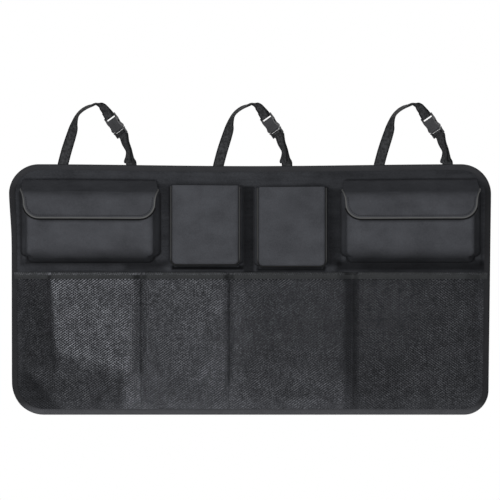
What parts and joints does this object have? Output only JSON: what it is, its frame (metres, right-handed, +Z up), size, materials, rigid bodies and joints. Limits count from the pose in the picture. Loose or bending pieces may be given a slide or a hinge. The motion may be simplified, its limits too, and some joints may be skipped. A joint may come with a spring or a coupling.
{
  "type": "hanging trunk organizer",
  "caption": "Wide fabric organizer that hangs on the back of a rear seat by buckled webbing loops, with flap pockets, open box pockets and net pockets.",
  "frame": {"origin": "centre of the outer face of the middle hook strip, on the back, at the panel's mid height", "axes": "+X to the right as seen from the front, +Y back into the seat, +Z up"},
  "size_m": [0.9006, 0.063, 0.582],
  "materials": {
    "panel_cloth": "black polyester oxford cloth, plain weave, matte",
    "pocket_cloth": "black polyester oxford cloth, coated, soft sheen",
    "binding_tape": "black woven binding tape, matte",
    "grey_piping": "dark grey fabric piping, matte",
    "net_cloth": "black nylon net over the dark panel",
    "webbing": "black woven polyester webbing, ribbed",
    "buckle_plastic": "moulded black acetal, satin",
    "hook_tape": "black hook or loop tape, matte pile"
  },
  "bodies": {
    "root": {"back_panel": "panel_cloth", "edge_binding": "binding_tape", "flap_pouch_left": "pocket_cloth", "flap_pouch_right": "pocket_cloth", "flap_left": "pocket_cloth", "flap_right": "pocket_cloth", "flap_piping_left": "grey_piping", "flap_piping_right": "grey_piping", "hook_patch_left": "hook_tape", "hook_patch_right": "hook_tape", "loop_patch_left": "hook_tape", "loop_patch_right": "hook_tape", "box_pouch_left": "pocket_cloth", "box_pouch_right": "pocket_cloth", "box_piping_left": "grey_piping", "box_piping_right": "grey_piping", "net_sheet": "net_cloth", "net_top_tape": "binding_tape", "strap_long_left": "webbing", "strap_long_middle": "webbing", "strap_long_right": "webbing", "strap_short_left": "webbing", "strap_short_middle": "webbing", "strap_short_right": "webbing", "buckle_socket_left": "buckle_plastic", "buckle_socket_middle": "buckle_plastic", "buckle_socket_right": "buckle_plastic", "buckle_latch_left": "buckle_plastic", "buckle_latch_middle": "buckle_plastic", "buckle_latch_right": "buckle_plastic", "hook_strip_left": "hook_tape", "hook_strip_middle": "hook_tape", "hook_strip_right": "hook_tape"}
  },
  "joints": []
}
